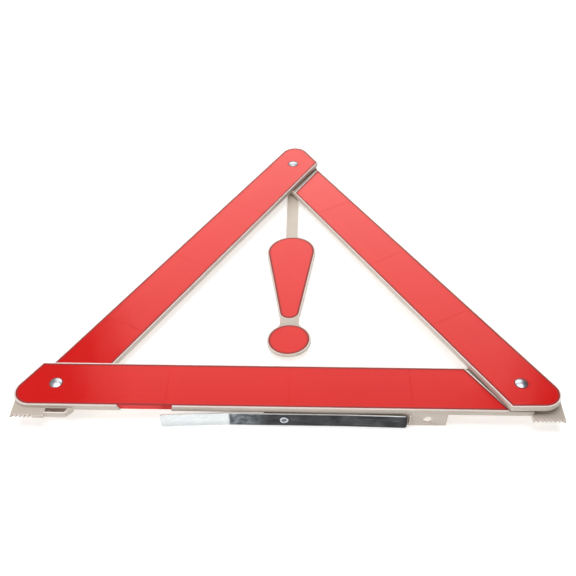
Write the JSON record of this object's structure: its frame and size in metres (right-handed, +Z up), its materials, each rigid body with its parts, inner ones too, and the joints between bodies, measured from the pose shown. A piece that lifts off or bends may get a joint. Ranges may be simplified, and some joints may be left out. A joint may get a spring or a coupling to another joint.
{
  "type": "warning triangle",
  "caption": "Folding roadside warning triangle: three overlapping red reflector arms riveted in a ring, a hanging exclamation mark and a turning steel foot.",
  "frame": {"origin": "centre of the bounding box, on the flat surface the triangle lies on", "axes": "+X along the base arm towards the corner with the hook, +Y from the base towards the apex, +Z up out of the reflectors"},
  "size_m": [0.4315, 0.3848, 0.0253],
  "materials": {
    "cream_plastic": "moulded ABS, satin",
    "red_reflector": "moulded prismatic reflector, glossy front",
    "bright_steel": "domed rivet, bright zinc",
    "washer_steel": "plain zinc",
    "natural_nylon": "low-friction spacer",
    "strip_steel": "spring steel strip, rolled, satin"
  },
  "bodies": {
    "base_arm": {"base_frame": "cream_plastic", "base_lens": "red_reflector", "left_rivet": "bright_steel", "left_spacer": "natural_nylon", "left_back_washer": "washer_steel", "foot_eyelet": "washer_steel", "foot_washer": "natural_nylon"},
    "left_arm": {"left_frame": "cream_plastic", "left_lens": "red_reflector", "apex_rivet": "bright_steel", "apex_spacer": "natural_nylon", "apex_back_washer": "washer_steel", "mark_spacer": "natural_nylon"},
    "right_arm": {"right_frame": "cream_plastic", "right_lens": "red_reflector", "latch_stud": "bright_steel", "latch_catch_washer": "washer_steel"},
    "exclamation_mark": {"mark_frame": "cream_plastic", "mark_stroke_lens": "red_reflector", "mark_dot_lens": "red_reflector"},
    "foot": {"foot_strip": "strip_steel"}
  },
  "joints": [
    {"name": "left_fold", "type": "hinge", "parent": "base_arm", "child": "left_arm", "pos_m": [-0.18492, -0.16028, 0.01127], "axis": [0, -0.0169, 0.9999], "range_deg": [-60, 0]},
    {"name": "right_swing", "type": "hinge", "parent": "left_arm", "child": "right_arm", "pos_m": [0.00005, 0.16016, 0.01034], "axis": [-0.0514, 0.0128, 0.9986], "range_deg": [0, 300]},
    {"name": "mark_swing", "type": "hinge", "parent": "left_arm", "child": "exclamation_mark", "pos_m": [0.00005, 0.16016, 0.01034], "axis": [-0.0514, 0.0128, 0.9986], "range_deg": [-30, 0]},
    {"name": "foot_turn", "type": "hinge", "parent": "base_arm", "child": "foot", "pos_m": [-0.00153, -0.18494, 0.00674], "axis": [0, -0.9999, 0.0128], "range_deg": [0, 90]}
  ],
  "couplings": [
    {"joint": "left_fold", "follows": "right_swing", "ratio": -0.2},
    {"joint": "mark_swing", "follows": "right_swing", "ratio": -0.1}
  ]
}
